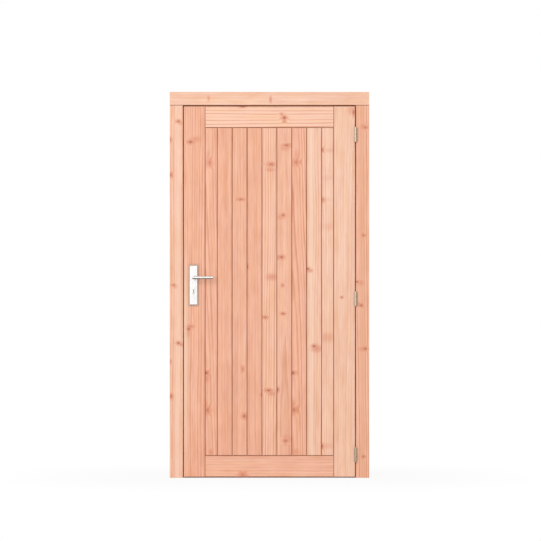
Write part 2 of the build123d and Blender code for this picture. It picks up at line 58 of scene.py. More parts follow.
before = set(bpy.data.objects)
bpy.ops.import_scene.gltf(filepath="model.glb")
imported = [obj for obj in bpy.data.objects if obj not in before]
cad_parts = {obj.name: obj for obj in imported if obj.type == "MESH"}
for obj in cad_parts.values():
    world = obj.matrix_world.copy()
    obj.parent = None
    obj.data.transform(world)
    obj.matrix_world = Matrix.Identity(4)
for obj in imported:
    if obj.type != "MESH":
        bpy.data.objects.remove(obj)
CAD_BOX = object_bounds()
MM = 0.001
PER_METRE = 1000.0


def linear(code):
    """Turn an sRGB hex value such as #EFB598 into linear red, green and blue."""
    srgb = np.array([int(code[i:i + 2], 16) for i in (1, 3, 5)]) / 255
    return tuple(np.where(srgb > 0.04045, ((srgb + 0.055) / 1.055) ** 2.4, srgb / 12.92).tolist())


def opaque(colour):
    """Add full alpha to a colour, as colour sockets want it."""
    return (*colour, 1.0)


def blend(first, second, share):
    """Colour between two others."""
    return [(1 - share) * a + share * b for a, b in zip(first, second)]


ALL_ALONG = math.inf  # half length of a streak that runs from end to end


class Knot(NamedTuple):
    """A knot's place across and along the grain, its half width and half length, and how faint it is."""

    across: float
    along: float
    half_width: float
    half_length: float
    faint: float


class Streak(NamedTuple):
    """A streak's place and size, as a knot's, how strongly it shows, and the name of its colour."""

    across: float
    along: float
    half_width: float
    half_length: float
    strength: float
    colour: str


class Sawn(NamedTuple):
    """How a member was sawn, in millimetres from the lower left front corner of its box.

    depth is the depth of its colour, from 0 to 1; figure how strongly its growth rings show; pith the
    centre of the trunk, across the face and behind it; ring the spacing at which its rings are drawn,
    three to five times that of real ones so that they show; taper how far they drift in a metre of length;
    knots the values of a Knot each; streak one streak of another colour; plate the node of a plate screwed
    to it, round which a contact shadow is painted; sheen how much its oiled surface shines.
    """

    depth: float
    figure: float
    pith: tuple
    ring: float
    taper: float
    knots: tuple = ()
    streak: Streak | None = None
    plate: str = ""
    sheen: float = 0.5


FRAME_TIMBER = {
    "frame_head": Sawn(0.05, 0.3, (-95, 55), 12, 3, ((37, 211, 8, 4, 1.1), (30, 548, 11, 4, 0.9))),
    "lock_jamb": Sawn(
        0.5, 0.8, (118, 45), 12, 5,
        (
            (48, 1937, 8, 6, 0.3), (58, 1929, 8, 7, 1.4), (5, 1838, 4, 10, 0.6), (7, 1646, 6, 10, 0.4),
            (21, 1047, 8, 5, 0.6), (30, 1037, 8, 6, 1.6), (48, 732, 8, 6, 0.1), (61, 724, 9, 5, 0.9),
            (5, 632, 3, 10, 0.7), (7, 443, 7, 10, 0.4),
        ),
        Streak(44, 0, 17, ALL_ALONG, 0.4, "sapwood_and_highlight"),
    ),
    "hinge_jamb": Sawn(
        0.75, 1.2, (-52, 40), 12, 6,
        (
            (51, 1904, 8, 6, 0.6), (38, 1909, 10, 9, 1.6), (40, 1318, 5, 6, 0.5), (6, 1065, 8, 5, 0.4),
            (28, 1058, 10, 8, 1.6), (28, 937, 9, 6, 0.5), (16, 944, 9, 6, 1.4), (50, 701, 10, 6, 0.5),
            (33, 700, 12, 7, 1.5), (40, 115, 5, 6, 0.5),
        ),
        Streak(36, 0, 12, ALL_ALONG, 0.6, "honey"),
    ),
    "lock_stop": Sawn(0.9, 0.8, (60, 30), 12, 4, sheen=0.2),
    "hinge_stop": Sawn(1.0, 0.8, (-40, 30), 12, 4, sheen=0.2),
    "head_stop": Sawn(1.0, 0.8, (-45, 30), 12, 4, sheen=0.2),
    "threshold": Sawn(1.0, 0.8, (70, 45), 12, 4, sheen=0.2),
}
LEAF_TIMBER = {
    "lock_stile": Sawn(
        0.8, 0.9, (185, 60), 12, 6,
        (
            (36, 1819, 11, 7, 0.1), (63, 1834, 16, 9, 1.5), (26, 803, 7, 9, 0.2), (36, 816, 12, 6, 0.9),
            (25, 781, 8, 14, 1.8),
        ),
        # The pale streak along the left edge of the leaf is a painted highlight of that lit edge
        Streak(5, 640, 16, 620, 0.6, "sapwood_and_highlight"), "outer_plate",
    ),
    "hinge_stile": Sawn(
        0.0, 0.4, (150, 70), 11, 12,
        ((106, 1981, 5, 13, 0.3), (96, 1993, 12, 16, 1.6), (43, 975, 5, 5, 0.4)),
    ),
    "top_rail": Sawn(
        0.3, 2.3, (179, 30), 17, 4, ((115, 264, 5, 15, 0.1), (52, 491, 9, 9, 0), (72, 476, 4, 7, 0.7)),
    ),
    "bottom_rail": Sawn(0.55, 0.5, (-85, 60), 13, 8, ((11, 265, 7, 15, 0.8),)),
}
BOARD_TIMBER = {
    "board_1": Sawn(
        0.75, 1.0, (0, 40), 12, 26,
        (
            (33, 1600, 9, 14, 0.9), (26, 1637, 6, 22, 1.9), (14, 458, 9, 8, 0.1), (18, 430, 8, 14, 1.2),
            (21, 255, 10, 13, 0.7), (12, 278, 5, 18, 1.4), (39, 25, 7, 10, 1.2),
        ),
    ),
    "board_2": Sawn(0.82, 0.25, (-75, 45), 13, 5),
    "board_3": Sawn(
        0.7, 0.42, (135, 50), 13, 6, ((47, 1401, 13, 5, 0.6), (57, 479, 6, 10, 0.9), (65, 223, 8, 10, 0.4)),
    ),
    "board_4": Sawn(0.75, 0.38, (-45, 60), 13, 5, ((2, 1036, 4, 12, 0.6), (78, 340, 4, 8, 0.8))),
    "board_5": Sawn(
        0.5, 1.4, (180, 60), 13, 8,
        (
            (51, 1591, 16, 7, 0.7), (45, 1562, 14, 6, 1.3), (55, 979, 18, 10, 1.1), (18, 760, 9, 6, 0.5),
            (35, 363, 14, 6, 0.5), (51, 349, 12, 9, 1.2),
        ),
    ),
    "board_6": Sawn(
        0.6, 0.6, (45, 75), 12, 9,
        (
            (52, 1695, 13, 6, 0.5), (43, 1680, 14, 8, 1.5), (34, 1315, 8, 7, 0.5), (24, 1305, 14, 8, 1.5),
            (25, 1087, 9, 7, 0.3), (9, 1085, 10, 8, 1.3), (30, 934, 6, 6, 0.8), (32, 780, 9, 5, 0.2),
            (3, 366, 6, 9, 0.3), (47, 89, 12, 8, 0.7), (60, 99, 16, 12, 1.6),
        ),
    ),
    "board_7": Sawn(
        0.85, 1.3, (-6, 40), 12, 26,
        (
            (24, 1603, 11, 11, 0.8), (26, 1637, 7, 22, 1.7), (5, 458, 9, 8, 0.2), (11, 257, 11, 13, 0.6),
            (6, 283, 7, 20, 1.3), (22, 28, 12, 10, 1.6),
        ),
    ),
    "board_8": Sawn(
        0.3, 1.0, (150, 45), 13, 6,
        ((5, 1023, 8, 6, 0.3), (18, 1014, 9, 6, 1.0), (39, 603, 9, 7, 0), (52, 590, 16, 11, 1.1)),
        Streak(26, 0, 14, ALL_ALONG, 0.6, "sapwood_and_highlight"),
    ),
    "board_9": Sawn(
        0.0, 0.65, (-75, 50), 11, 6,
        (
            (1, 1670, 7, 8, 0.4), (29, 1667, 26, 8, 2.1), (29, 1517, 28, 11, 2.3), (1, 1398, 6, 11, 0.6),
            (29, 1400, 24, 9, 2.3), (31, 1252, 28, 14, 2.2), (31, 650, 28, 16, 1.8), (1, 59, 7, 9, 0.4),
            (29, 61, 26, 11, 2.1),
        ),
    ),
}
HINGES = ("upper", "middle", "lower")
HINGE_NODES = [f"{hinge}_hinge_{part}" for hinge in HINGES for part in ("frame_flap", "leaf_flap")]
PLATE_NODES = ("outer_plate", "inner_plate")
LEVER_NODES = ("outer_lever", "inner_lever")
LOCK_NODES = ("lock_case", "lock_forend", "latch_bolt", "dead_bolt", "strike_plate", "spindle")


class FirSettings(bpy.types.PropertyGroup):
    """Colours of the oiled fir."""

    pale_early: FloatVectorProperty(
        name="Pale spring wood", description="Soft part of a ring in the palest members",
        default=linear("#FFD7BF"), subtype="COLOR", min=0, max=1,
    )
    pale_late: FloatVectorProperty(
        name="Pale summer wood", description="Hard part of a ring in the palest members",
        default=linear("#E8A788"), subtype="COLOR", min=0, max=1,
    )
    deep_early: FloatVectorProperty(
        name="Deep spring wood", description="Soft part of a ring in the reddest members",
        default=linear("#FBBC9F"), subtype="COLOR", min=0, max=1,
    )
    deep_late: FloatVectorProperty(
        name="Deep summer wood", description="Hard part of a ring in the reddest members",
        default=linear("#D88C6C"), subtype="COLOR", min=0, max=1,
    )
    amber: FloatVectorProperty(
        name="Amber tint", description="Tint of the yellower patches between the pink ones",
        default=linear("#FFFAEA"), subtype="COLOR", min=0, max=1,
    )
    # Paler streak of young wood; on the lock stile, a painted highlight along the lit left edge of the leaf
    sapwood_and_highlight: FloatVectorProperty(
        name="Sapwood", description="Paler streak of young wood",
        default=linear("#FCDCC2"), subtype="COLOR", min=0, max=1,
    )
    honey: FloatVectorProperty(
        name="Honey", description="Yellower streak of old wood",
        default=linear("#EBAD88"), subtype="COLOR", min=0, max=1,
    )
    blush: FloatVectorProperty(
        name="Blush", description="Resin-stained wood round a knot",
        default=linear("#DE8868"), subtype="COLOR", min=0, max=1,
    )
    knot: FloatVectorProperty(
        name="Knot", description="Middle of a knot",
        default=linear("#A4583E"), subtype="COLOR", min=0, max=1,
    )
    knot_rim: FloatVectorProperty(
        name="Knot rim", description="Bark line round a knot",
        default=linear("#94503A"), subtype="COLOR", min=0, max=1,
    )
    # Painted shade for the V joints of the leaf and the line under the frame head
    joint_shade: FloatVectorProperty(
        name="Oil tint", description="Tint where oil gathers at the bottom of the joints of the leaf",
        default=linear("#B89C8C"), subtype="COLOR", min=0, max=1,
    )
    # Painted contact shadow round the handle plate
    plate_shadow: FloatVectorProperty(
        name="Grime", description="Dust and oil that gather along the handle plate",
        default=linear("#958F84"), subtype="COLOR", min=0, max=1,
    )


class MetalSettings(bpy.types.PropertyGroup):
    """Colours of the metal fittings."""

    handle: FloatVectorProperty(
        name="Handle", description="Satin stainless steel of plates and levers",
        default=linear("#DFDEDC"), subtype="COLOR", min=0, max=1,
    )
    hinge: FloatVectorProperty(
        name="Hinges", description="Zinc-plated steel of hinges and screws",
        default=linear("#B8AE98"), subtype="COLOR", min=0, max=1,
    )
    lock: FloatVectorProperty(
        name="Lock", description="Ground steel of the lock and its strike plate",
        default=linear("#C9C8C4"), subtype="COLOR", min=0, max=1,
    )
    cylinder: FloatVectorProperty(
        name="Cylinder", description="Nickel-plated brass of the lock cylinder",
        default=linear("#DCDBD7"), subtype="COLOR", min=0, max=1,
    )


class ScrewSettings(bpy.types.PropertyGroup):
    """Sizes of the screw heads."""

    head: FloatProperty(
        name="Head", description="Diameter of a screw head",
        default=8 * MM, min=4 * MM, max=12 * MM, unit="LENGTH",
    )
    dome: FloatProperty(
        name="Dome", description="How far the middle of a head stands proud",
        default=0.5 * MM, min=0.1 * MM, max=1.5 * MM, unit="LENGTH",
    )
    recess: FloatProperty(
        name="Recess", description="Depth of the cross recess",
        default=1.2 * MM, min=0.4 * MM, max=2 * MM, unit="LENGTH",
    )


class StageSettings(bpy.types.PropertyGroup):
    """Floor, light and camera."""

    floor: FloatVectorProperty(
        name="Floor", description="Pale studio floor",
        default=linear("#F2F2F2"), subtype="COLOR", min=0, max=1,
    )
    ambient: FloatProperty(
        name="Ambient light", description="Brightness of the room all round",
        default=0.6, min=0, max=2,
    )
    key: FloatProperty(
        name="Key light", description="Power of the large soft lamp",
        default=820, min=0, max=9000, unit="POWER",
    )
    distance: FloatProperty(
        name="Camera distance", description="From the camera to the face of the door",
        default=16, min=3, max=50, unit="LENGTH",
    )
    field: FloatProperty(
        name="Field", description="Width of the picture at the face of the door",
        default=2.9403, min=1, max=6, unit="LENGTH",
    )
    across: FloatProperty(
        name="Camera across", description="Where the camera stands from side to side",
        default=-0.5363, min=-5, max=5, unit="LENGTH",
    )
    height: FloatProperty(
        name="Camera height", description="How high the camera stands above the floor",
        default=1.1264, min=0, max=5, unit="LENGTH",
    )


# Sockets of a Mix node that mixes colours
MIX_A = 6
MIX_B = 7
MIXED = 2


def node(tree, kind, *values, named=None, **settings):
    """Add a shader node and return its outputs: settings are its own, values and named fill its sockets."""
    made = tree.nodes.new("ShaderNode" + kind)
    for setting, value in settings.items():
        setattr(made, setting, value)
    for place, value in [*enumerate(values), *(named or {}).items()]:
        if isinstance(value, bpy.types.NodeSocket):
            tree.links.new(value, made.inputs[place])
        else:
            made.inputs[place].default_value = value
    return made.outputs


def new_material(name):
    """Make an empty node material and return it with its tree."""
    material = bpy.data.materials.new(name)
    material.use_nodes = True
    material.node_tree.nodes.clear()
    return material, material.node_tree


def beyond_box(tree, low, high):
    """How far a place lies beyond the faces of a box, along each axis, or by minus how much inside them."""
    place = node(tree, "TexCoord")["Object"]
    away = node(tree, "VectorMath", place, (low + high) / 2, operation="SUBTRACT")[0]
    away = node(tree, "VectorMath", away, operation="ABSOLUTE")[0]
    return node(tree, "VectorMath", away, (high - low) / 2, operation="SUBTRACT")[0]


def distance_from_box(tree, low, high, axes):
    """Distance from a box along the axes that are given as 1, and 0 inside it."""
    beyond = node(tree, "VectorMath", beyond_box(tree, low, high), (0, 0, 0), operation="MAXIMUM")[0]
    beyond = node(tree, "VectorMath", beyond, axes, operation="MULTIPLY")[0]
    return node(tree, "VectorMath", beyond, operation="LENGTH")["Value"]


class Pattern(NamedTuple):
    """Noise drawn out along the grain, in patches of a width and a length in millimetres.

    seed is added to the member's own, and weight is how much the noise adds to what it is added to.
    """

    width: float
    length: float
    detail: float
    seed: int
    weight: float = 1.0


SEED_SHIFT = (7.3, 3.1, 11.7)  # how far one seed moves a pattern, in patches
WANDER = Pattern(130, 900, 1.0, 0, 30.0)  # slow drift of the rings, in millimetres
RIPPLE = Pattern(25, 260, 1.0, 1, 5.0)  # waves in the rings, in millimetres
STREAKS = Pattern(12, 900, 2.0, 2, 0.75)
CLOUDS = Pattern(40, 120, 1.0, 3, 0.5)
FIBRES = Pattern(6, 90, 1.0, 4, 0.55)  # drawn coarser than real fibres so that they show
PATCHES = Pattern(25, 220, 1.0, 5)
THREADS = Pattern(0.8, 45, 2.0, 6, 0.25)  # fibres at their real size, which show only close to

# Growth rings
SUMMER_WIDTH = 7.8  # hard dark part of a ring, in millimetres as drawn
SUMMER_PEAK = 0.85  # where it is darkest, as a share of the ring
YEAR_CHANGE = 0.7  # how quickly one year differs from the next
REAL_RING = 3.2  # spacing of the real rings, in millimetres
YEAR_SHARPNESS = 3.0  # power that draws a real ring together into a line
YEAR_SHADE = 0.25
CLOSE_MEAN = 0.19  # of year lines and threads, taken off again
RING_SHADE = 0.7  # how much summer wood darkens a member whose figure is 1
RING_MEAN = 0.2  # of that, taken off again
START_SHADE = -0.53  # before streaks, clouds and fibres, which add 0.9 on average

# Knots
KNOT_RUFFLE = 4.0  # how uneven their rims are, in millimetres
RUFFLE_WIDTH = 9.0  # in millimetres
KNOT_FADE = 50.0  # depth behind the face, in millimetres, over which a knot turns fainter by 1
HARD_KNOT = 1.0  # a knot less faint than this pushes the rings aside

# Ranges: where something starts and stops, then how strong it is at each end
# By noise, or by distance in knot radii
YEAR_STRENGTH = (0.35, 0.65, 0.25, 1.0)
AMBER_PATCHES = (0.42, 0.62, 0.0, 0.6)
KNOT_PUSH = (0.5, 4.0, 1.0, 0.0)
KNOT_BLUSH = (0.8, 3.2, 0.65, 0.0)
KNOT_RIM = (0.5, 1.0, 0.0, 1.0)
KNOT_HEART = (0.1, 1.35, 0.8, 0.0)
STREAK_EDGE = (0.4, 1.4)
# By metres from a face or an edge
JOINT_DEPTH = 2.5 * MM  # of the slanted edges that make the V joints
# Painted shade in the V joints and under the frame head, by depth below the face and distance from the head
JOINT_SHADE = (-JOINT_DEPTH, 0.0, 1.0, 0.0)
HEAD_JOINT_SHADE = (0.5 * MM, 3.5 * MM, 0.6, 0.0)
# Painted contact shadow round the handle plate, by distance from its edge
PLATE_SHADOW = (3 * MM, 16 * MM, 0.45, 0.0)
# By how squarely a face cuts the grain, and by how hard the wood is
END_GRAIN = (0.75, 0.95, 0.0, 0.45)
FIR_ROUGHNESS = (0.0, 1.0, 0.66, 0.54)

FIR_IOR = 1.5
FIR_BUMP = 0.25
FIR_RELIEF = 0.3 * MM
RING_RELIEF = 0.6  # height of summer wood beside that of the threads


def grain_noise(tree, grain, seed, pattern):
    """Noise of a pattern along the grain, different for each seed."""
    shift = [(seed + pattern.seed) * step for step in SEED_SHIFT]
    size = (1 / pattern.width, 1 / pattern.width, 1 / pattern.length)
    place = node(tree, "Mapping", grain, named={"Location": shift, "Scale": size})[0]
    return node(tree, "TexNoise", place, named={"Scale": 1.0, "Detail": pattern.detail})[0]


def add_noise(tree, grain, seed, pattern, value):
    """A value plus a pattern's noise times its weight."""
    noise = grain_noise(tree, grain, seed, pattern)
    return node(tree, "Math", noise, pattern.weight, value, operation="MULTIPLY_ADD")[0]


def knot_distances(tree, grain, knots):
    """Distance from each knot in its own radii, so that 1 is its rim; a faint knot is never close."""
    ruffle = node(tree, "TexNoise", grain, named={"Scale": 1 / RUFFLE_WIDTH, "Detail": 1.0})[1]
    uneven = node(
        tree, "VectorMath", ruffle, (KNOT_RUFFLE, 0, KNOT_RUFFLE), grain, operation="MULTIPLY_ADD",
    )[0]
    distances = []
    for knot in knots:
        across = (knot.across + KNOT_RUFFLE / 2) / knot.half_width
        along = (knot.along + KNOT_RUFFLE / 2) / knot.half_length
        size = (1 / knot.half_width, 1 / KNOT_FADE, 1 / knot.half_length)
        from_knot = node(
            tree, "Mapping", uneven, named={"Location": (-across, knot.faint, -along), "Scale": size},
        )[0]
        distances.append(node(tree, "VectorMath", from_knot, operation="LENGTH")["Value"])
    return distances


def least(tree, values):
    """Smallest of some values."""
    smallest, *others = values
    for value in others:
        smallest = node(tree, "Math", smallest, value, operation="MINIMUM")[0]
    return smallest


def count_rings(tree, grain, sawn, seed, hard_knots):
    """Growth rings from the pith, drifting along the trunk, wandering, and pushed out by knots."""
    across, depth, along = node(tree, "SeparateXYZ", grain)
    sideways = add_noise(tree, grain, seed, WANDER, across)
    from_pith = node(tree, "Math", sideways, -WANDER.weight / 2 - sawn.pith[0], operation="ADD")[0]
    behind = node(tree, "Math", depth, float(sawn.pith[1]), operation="ADD")[0]
    in_section = node(tree, "CombineXYZ", from_pith, behind)[0]
    radius = node(tree, "VectorMath", in_section, operation="LENGTH")["Value"]
    tapered = node(tree, "Math", along, sawn.taper * MM, radius, operation="MULTIPLY_ADD")[0]
    rings = add_noise(tree, grain, seed, RIPPLE, tapered)
    if hard_knots:
        nearest = least(tree, hard_knots)
        push = node(tree, "MapRange", nearest, *KNOT_PUSH, interpolation_type="SMOOTHSTEP")[0]
        rings = node(tree, "Math", push, sawn.ring, rings, operation="MULTIPLY_ADD")[0]
    return node(tree, "Math", rings, sawn.ring, operation="DIVIDE")[0]


def summer_wood(tree, rings, ring):
    """Hardness of the wood: it rises through a ring, ends sharply, and differs from year to year."""
    through = node(tree, "Math", rings, operation="FRACT")[0]
    climb = (1 - SUMMER_WIDTH / ring, SUMMER_PEAK, 0.0, 1.0)
    rise = node(tree, "MapRange", through, *climb, interpolation_type="SMOOTHSTEP")[0]
    fall = node(tree, "MapRange", through, SUMMER_PEAK, 1.0, 0.0, 1.0, interpolation_type="SMOOTHSTEP")[0]
    year = node(
        tree, "TexNoise", named={"W": rings, "Scale": YEAR_CHANGE, "Detail": 1.0}, noise_dimensions="1D",
    )[0]
    strength = node(tree, "MapRange", year, *YEAR_STRENGTH)[0]
    band = node(tree, "Math", rise, fall, operation="SUBTRACT")[0]
    return node(tree, "Math", band, strength, operation="MULTIPLY")[0]


def close_shade(tree, rings, ring, threads):
    """Shade of rings and fibres at their real size, which show only close to."""
    years = node(tree, "Math", rings, ring / REAL_RING, operation="MULTIPLY")[0]
    through = node(tree, "Math", years, operation="FRACT")[0]
    year_line = node(tree, "Math", through, YEAR_SHARPNESS, operation="POWER")[0]
    shade = node(tree, "Math", year_line, YEAR_SHADE, -CLOSE_MEAN, operation="MULTIPLY_ADD")[0]
    return node(tree, "Math", threads, THREADS.weight, shade, operation="MULTIPLY_ADD")[0]


def wood_shade(tree, grain, late, close_to, figure, seed):
    """Shade between spring and summer wood: rings, long streaks, clouds and fibres."""
    start = START_SHADE - RING_MEAN * figure
    shade = node(tree, "Math", late, RING_SHADE * figure, start, operation="MULTIPLY_ADD")[0]
    for pattern in (STREAKS, CLOUDS, FIBRES):
        shade = add_noise(tree, grain, seed, pattern, shade)
    return node(tree, "Math", shade, close_to, operation="ADD")[0]


def in_streak(tree, grain, streak):
    """How strongly a streak shows: fully along its middle, fading to its sides and ends."""
    across = streak.across / streak.half_width
    along = streak.along / streak.half_length
    size = (1 / streak.half_width, 0, 1 / streak.half_length)
    from_streak = node(tree, "Mapping", grain, named={"Location": (-across, 0, -along), "Scale": size})[0]
    beside = node(tree, "VectorMath", from_streak, operation="LENGTH")["Value"]
    return node(tree, "MapRange", beside, *STREAK_EDGE, streak.strength, 0.0)[0]


def draw_knots(tree, colour, distances):
    """Colour with resin-stained wood round the knots, their hearts and the bark line round these."""
    fir = bpy.context.scene.door_fir
    nearest = least(tree, distances)
    halo = node(tree, "MapRange", nearest, *KNOT_BLUSH, interpolation_type="SMOOTHSTEP")[0]
    blush = opaque(fir.blush)
    blushed = node(tree, "Mix", halo, named={MIX_A: colour, MIX_B: blush}, data_type="RGBA")[MIXED]
    rim = node(tree, "MapRange", nearest, *KNOT_RIM)[0]
    heart = node(
        tree, "Mix", rim, named={MIX_A: opaque(fir.knot), MIX_B: opaque(fir.knot_rim)}, data_type="RGBA",
    )[MIXED]
    core = node(tree, "MapRange", nearest, *KNOT_HEART, interpolation_type="SMOOTHSTEP")[0]
    return node(tree, "Mix", core, named={MIX_A: blushed, MIX_B: heart}, data_type="RGBA")[MIXED]


def joints_box():
    """Corners round the joints between boards, stiles and rails, clear of the outer edges of the leaf."""
    first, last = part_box("board_1")[0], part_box("board_9")[1]
    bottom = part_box("bottom_rail")[0].z + JOINT_DEPTH
    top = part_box("top_rail")[1].z - JOINT_DEPTH
    return Vector((first.x, first.y, bottom)), Vector((last.x, last.y, top))


def painted_joint_shade(tree):
    """Painted shade: darker in the joints round the boards the deeper below the face, and in a line under
    the head of the frame.
    """
    from_joints = node(tree, "SeparateXYZ", beyond_box(tree, *joints_box()))
    sunk = node(tree, "MapRange", from_joints[1], *JOINT_SHADE, interpolation_type="SMOOTHSTEP")[0]
    beside = node(tree, "Math", from_joints[0], from_joints[2], operation="MAXIMUM")[0]
    between = node(tree, "Math", beside, 0.0, operation="LESS_THAN")[0]
    in_joints = node(tree, "Math", sunk, between, operation="MULTIPLY")[0]
    height = node(tree, "SeparateXYZ", node(tree, "TexCoord")["Object"])[2]
    from_head = node(tree, "Math", height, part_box("frame_head")[0].z, operation="SUBTRACT")[0]
    from_head = node(tree, "Math", from_head, operation="ABSOLUTE")[0]
    under_head = node(tree, "MapRange", from_head, *HEAD_JOINT_SHADE)[0]
    return node(tree, "Math", in_joints, under_head, operation="MAXIMUM")[0]


def end_grain(tree, lies_flat):
    """Where a face cuts across the grain, which runs along X in a member that lies flat and up in others."""
    facing = node(tree, "SeparateXYZ", node(tree, "TexCoord")["Normal"])
    to_end = node(tree, "Math", facing[0 if lies_flat else 2], operation="ABSOLUTE")[0]
    return node(tree, "MapRange", to_end, *END_GRAIN)[0]


def fir_colour(tree, grain, shade, sawn, seed, distances, lies_flat):
    """Colour of a member: its wood and darker end grain, with painted shade in its joints and a painted
    contact shadow round a handle plate.
    """
    fir = bpy.context.scene.door_fir
    early = opaque(blend(fir.pale_early, fir.deep_early, sawn.depth))
    deep = opaque(blend(fir.pale_late, fir.deep_late, sawn.depth))
    colour = node(tree, "Mix", shade, named={MIX_A: early, MIX_B: deep}, data_type="RGBA")[MIXED]
    amber = node(tree, "MapRange", grain_noise(tree, grain, seed, PATCHES), *AMBER_PATCHES)[0]
    colour = node(
        tree, "Mix", amber, named={MIX_A: colour, MIX_B: opaque(fir.amber)},
        data_type="RGBA", blend_type="MULTIPLY",
    )[MIXED]
    if sawn.streak:
        other = opaque(getattr(fir, sawn.streak.colour))
        share = in_streak(tree, grain, sawn.streak)
        colour = node(tree, "Mix", share, named={MIX_A: colour, MIX_B: other}, data_type="RGBA")[MIXED]
    if distances:
        colour = draw_knots(tree, colour, distances)
    # Painted shade darkens the joints and the line under the frame head; end grain reads darker, as it
    # drinks more oil
    for share, tint in ((painted_joint_shade(tree), opaque(fir.joint_shade)), (end_grain(tree, lies_flat), deep)):
        colour = node(
            tree, "Mix", share, named={MIX_A: colour, MIX_B: tint}, data_type="RGBA", blend_type="MULTIPLY",
        )[MIXED]
    # Painted contact shadow: greyer and darker near the handle plate's edge
    if sawn.plate:
        away = distance_from_box(tree, *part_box(sawn.plate), (1, 0, 1))
        share = node(tree, "MapRange", away, *PLATE_SHADOW, interpolation_type="SMOOTHSTEP")[0]
        shadow_tint = opaque(fir.plate_shadow)
        colour = node(tree, "Mix", share, named={MIX_A: colour, MIX_B: shadow_tint}, data_type="RGBA")[MIXED]
    return colour


def make_fir(member, sawn, seed):
    """Oiled fir: rings round a pith, knots that push them aside, fibres, streaks and dark end grain."""
    # Planed and oiled: pink and amber bands under a low sheen, with the hard wood a little glossier
    low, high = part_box(member)
    lies_flat = high.x - low.x > high.z - low.z
    material, tree = new_material(f"oiled fir, {member.replace('_', ' ')}")
    corner = node(
        tree, "Mapping", node(tree, "TexCoord")["Object"],
        named={"Location": -low * PER_METRE, "Scale": (PER_METRE, PER_METRE, PER_METRE)},
    )[0]
    across, depth, along = node(tree, "SeparateXYZ", corner)
    if lies_flat:
        across, along = along, across
    grain = node(tree, "CombineXYZ", across, depth, along)[0]

    knots = [Knot._make(values) for values in sawn.knots]
    distances = knot_distances(tree, grain, knots) if knots else []
    hard_knots = [distance for knot, distance in zip(knots, distances) if knot.faint < HARD_KNOT]
    rings = count_rings(tree, grain, sawn, seed, hard_knots)
    late = summer_wood(tree, rings, sawn.ring)
    threads = grain_noise(tree, grain, seed, THREADS)
    close_to = close_shade(tree, rings, sawn.ring, threads)
    shade = wood_shade(tree, grain, late, close_to, sawn.figure, seed)
    colour = fir_colour(tree, grain, shade, sawn, seed, distances, lies_flat)

    roughness = node(tree, "MapRange", late, *FIR_ROUGHNESS)[0]
    relief = node(tree, "Math", late, RING_RELIEF, threads, operation="MULTIPLY_ADD")[0]
    normal = node(tree, "Bump", named={"Strength": FIR_BUMP, "Distance": FIR_RELIEF, "Height": relief})[0]
    shader = node(
        tree, "BsdfPrincipled",
        named={
            "Base Color": colour, "Roughness": roughness, "IOR": FIR_IOR, "Specular IOR Level": sawn.sheen,
            "Normal": normal,
        },
    )[0]
    node(tree, "OutputMaterial", shader)
    return material


class Finish(NamedTuple):
    """Roughness of a worked metal and the pitch of its lines along X, Y and Z, in millimetres.

    The lines are drawn coarser than real ones so that they show.
    """

    roughness: float
    lines: tuple


DRAWN = Finish(0.38, (0.8, 0.8, 12))
GROUND = Finish(0.34, (0.7, 0.7, 18))
TURNED = Finish(0.3, (1.2, 1.2, 1.2))
BRUSHED_UPRIGHT = Finish(0.3, (0.6, 0.6, 25))
BRUSHED_LEVEL = Finish(0.26, (25, 0.6, 0.6))
NOISE_SPAN = (0.3, 0.7)  # where most of a noise lies
METAL_CLOUDS = 25.0  # in millimetres
DULLED = 0.96  # share of its colour that a duller cloud keeps
GLOSS_SPREAD = 0.06
LINE_BUMP = 0.08
LINE_RELIEF = 0.05 * MM
KEYHOLE_SHADE = "#0C0B0A"


def make_metal(name, colour, finish, hollow=None):
    """Worked metal: fine lines change its gloss, and soft clouds its tint.

    Between the two depths of hollow it is painted black, as painted shade inside a keyhole.
    """
    material, tree = new_material(name)
    place = node(tree, "TexCoord")["Object"]
    pitch = [PER_METRE / line for line in finish.lines]
    marks = node(
        tree, "TexNoise", node(tree, "Mapping", place, named={"Scale": pitch})[0],
        named={"Scale": 1.0, "Detail": 2.0},
    )[0]
    clouds = node(tree, "TexNoise", place, named={"Scale": PER_METRE / METAL_CLOUDS, "Detail": 2.0})[0]
    tint = node(tree, "MapRange", clouds, *NOISE_SPAN, 0.0, 1.0)[0]
    dull = opaque([channel * DULLED for channel in colour])
    base = node(tree, "Mix", tint, named={MIX_A: opaque(colour), MIX_B: dull}, data_type="RGBA")[MIXED]
    # Painted shade: black inside the keyhole
    if hollow:
        near, far = hollow
        deep = node(tree, "SeparateXYZ", place)[1]
        inside = node(tree, "Math", deep, (near + far) / 2, (far - near) / 2, operation="COMPARE")[0]
        black = opaque(linear(KEYHOLE_SHADE))
        base = node(tree, "Mix", inside, named={MIX_A: base, MIX_B: black}, data_type="RGBA")[MIXED]
    glossy = finish.roughness - GLOSS_SPREAD
    dulled = finish.roughness + GLOSS_SPREAD
    gloss = node(tree, "MapRange", marks, *NOISE_SPAN, glossy, dulled)[0]
    normal = node(tree, "Bump", named={"Strength": LINE_BUMP, "Distance": LINE_RELIEF, "Height": marks})[0]
    shader = node(
        tree, "BsdfPrincipled",
        named={"Base Color": base, "Metallic": 1.0, "Roughness": gloss, "Normal": normal},
    )[0]
    node(tree, "OutputMaterial", shader)
    return material


FRAME_SEED = 3
LEAF_SEED = 103
BOARD_SEED = 203
SEED_STEP = 10  # more than one member's patterns use


def dress(node_name, material):
    """Give a carried-over solid its material."""
    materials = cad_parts[node_name].data.materials
    materials.clear()
    materials.append(material)


def dress_timber(members, seed):
    """Give each member its own piece of the trunk."""
    for place, (member, sawn) in enumerate(members.items()):
        dress(member, make_fir(member, sawn, seed + SEED_STEP * place))


def make_piece(name, points, faces, material):
    """Put computed points and faces into a new object at the origin."""
    mesh = bpy.data.meshes.new(name)
    mesh.from_pydata(points.tolist(), [], faces)
    mesh.materials.append(material)
    piece = bpy.data.objects.new(name, mesh)
    bpy.context.scene.collection.objects.link(piece)
    return piece


